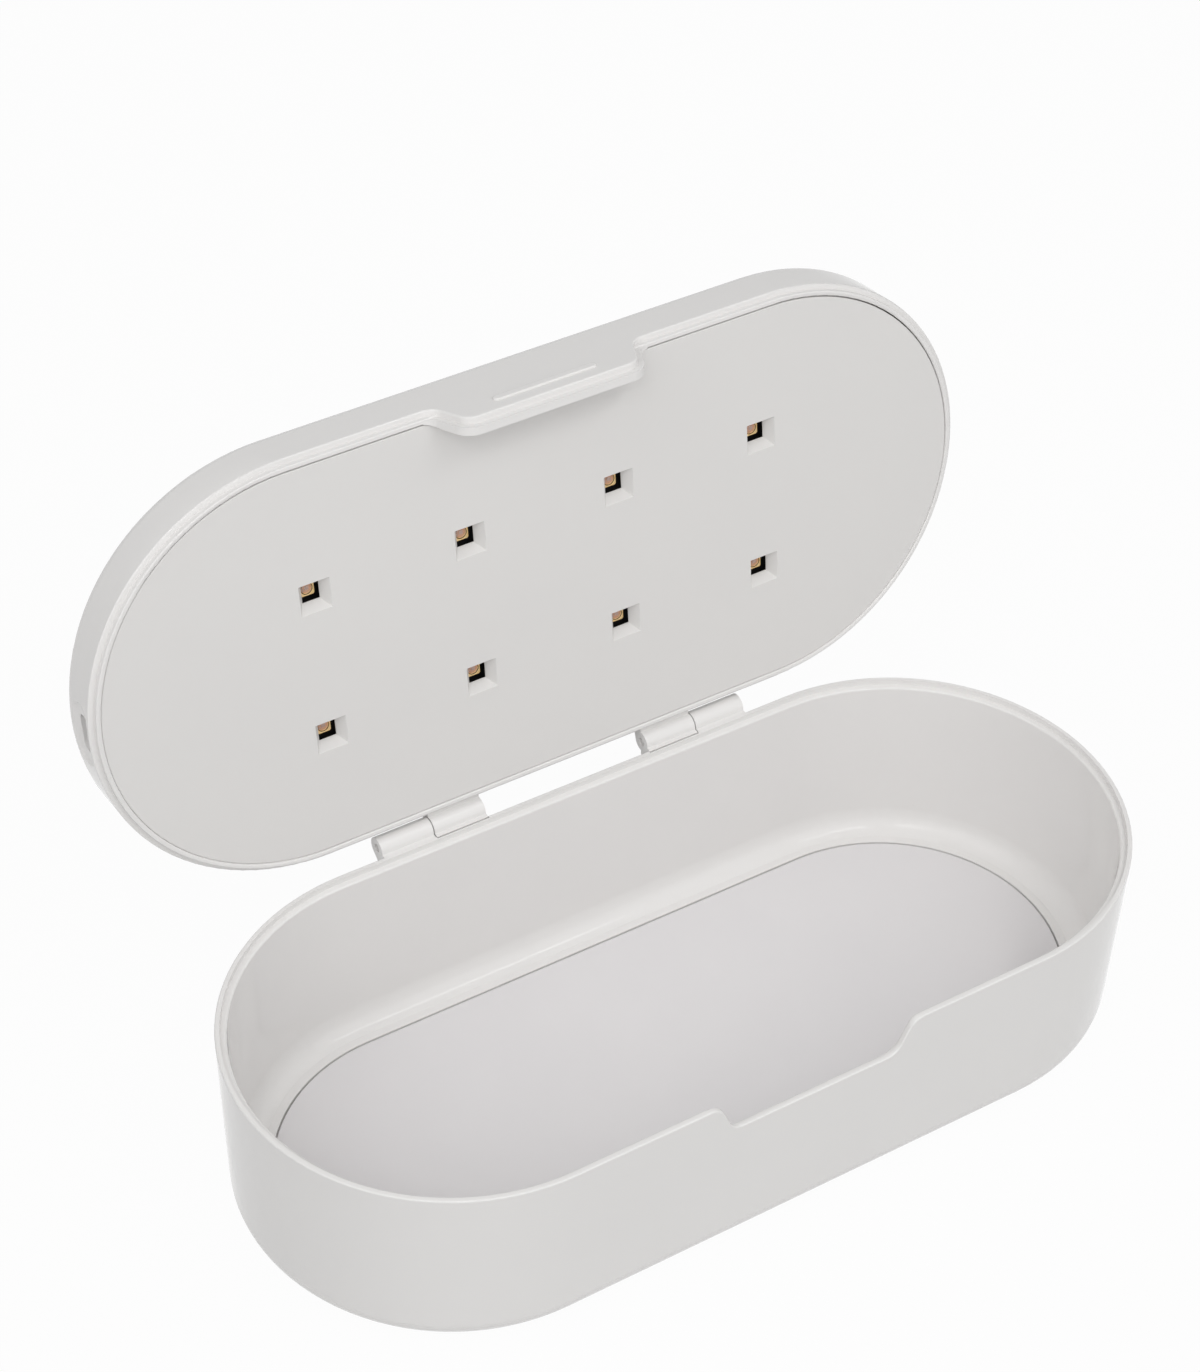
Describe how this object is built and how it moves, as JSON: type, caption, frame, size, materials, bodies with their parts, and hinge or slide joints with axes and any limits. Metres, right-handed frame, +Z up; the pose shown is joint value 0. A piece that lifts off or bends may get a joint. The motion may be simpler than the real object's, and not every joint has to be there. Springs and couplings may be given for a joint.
{
  "type": "nail tool sterilizer box",
  "caption": "Stadium-shaped white box with a hinged lid whose inner panel carries ultraviolet lamps, a finger tab in a front notch and a black key bar on top.",
  "frame": {"origin": "centre of the tray's flat underside", "axes": "+X along the box's long side to the right, +Y from the finger notch towards the hinge, +Z up out of the tray"},
  "size_m": [0.22, 0.1303, 0.1516],
  "materials": {
    "white_shell": "glossy injection-moulded white plastic",
    "white_panel": "satin white plastic",
    "white_plate": "satin white plastic sheet",
    "pin_steel": "drawn steel",
    "screw_steel": "zinc-plated steel",
    "lamp_body": "gold-plated ceramic",
    "lamp_dome": "clear quartz",
    "black_board": "black solder mask",
    "green_board": "green solder mask",
    "black_part": "moulded black epoxy",
    "grey_part": "moulded grey nylon",
    "ferrite": "grey ferrite",
    "metal_can": "plated steel can",
    "black_gloss": "glossy black plastic",
    "clear_lens": "clear light pipe",
    "lamp_small": "moulded light-emitting diode",
    "socket_metal": "stamped stainless shell",
    "wire_cover": "red insulation"
  },
  "bodies": {
    "tray": {"tray_shell": "white_shell", "floor_plate": "white_plate", "hinge_pin_left": "pin_steel", "hinge_pin_right": "pin_steel"},
    "lid": {"lid_shell": "white_shell", "led_panel": "white_panel", "led_strip_front": "black_board", "led_strip_rear": "black_board", "strip_screws": "screw_steel", "control_board": "green_board", "board_screws": "screw_steel", "driver_chip": "black_part", "inductor": "ferrite", "tilt_switch": "metal_can", "indicator_led": "lamp_small", "indicator_lens": "clear_lens", "control_bezel": "black_gloss", "switch_body": "black_part", "usb_socket_shell": "socket_metal", "usb_socket_tongue": "grey_part", "inlet_board": "green_board", "inlet_screws": "screw_steel", "power_wires": "wire_cover", "supply_wires": "wire_cover", "link_wires": "wire_cover", "led_package_1": "lamp_body", "led_package_2": "lamp_body", "led_package_3": "lamp_body", "led_package_4": "lamp_body", "led_package_5": "lamp_body", "led_package_6": "lamp_body", "led_package_7": "lamp_body", "led_package_8": "lamp_body", "led_dome_1": "lamp_dome", "led_dome_2": "lamp_dome", "led_dome_3": "lamp_dome", "led_dome_4": "lamp_dome", "led_dome_5": "lamp_dome", "led_dome_6": "lamp_dome", "led_dome_7": "lamp_dome", "led_dome_8": "lamp_dome"},
    "key": {"power_button": "black_gloss", "switch_plunger": "black_part"}
  },
  "joints": [
    {"name": "lid_hinge", "type": "hinge", "parent": "tray", "child": "lid", "pos_m": [0, 0.05365, 0.0473], "axis": [1, 0, 0], "range_deg": [0, 98]},
    {"name": "power_key", "type": "slide", "parent": "lid", "child": "key", "axis": [0, -0.9903, 0.1392], "range_m": [0, 0.0003], "stiffness_N_per_m": 1500, "springref_m": -0.0004}
  ]
}
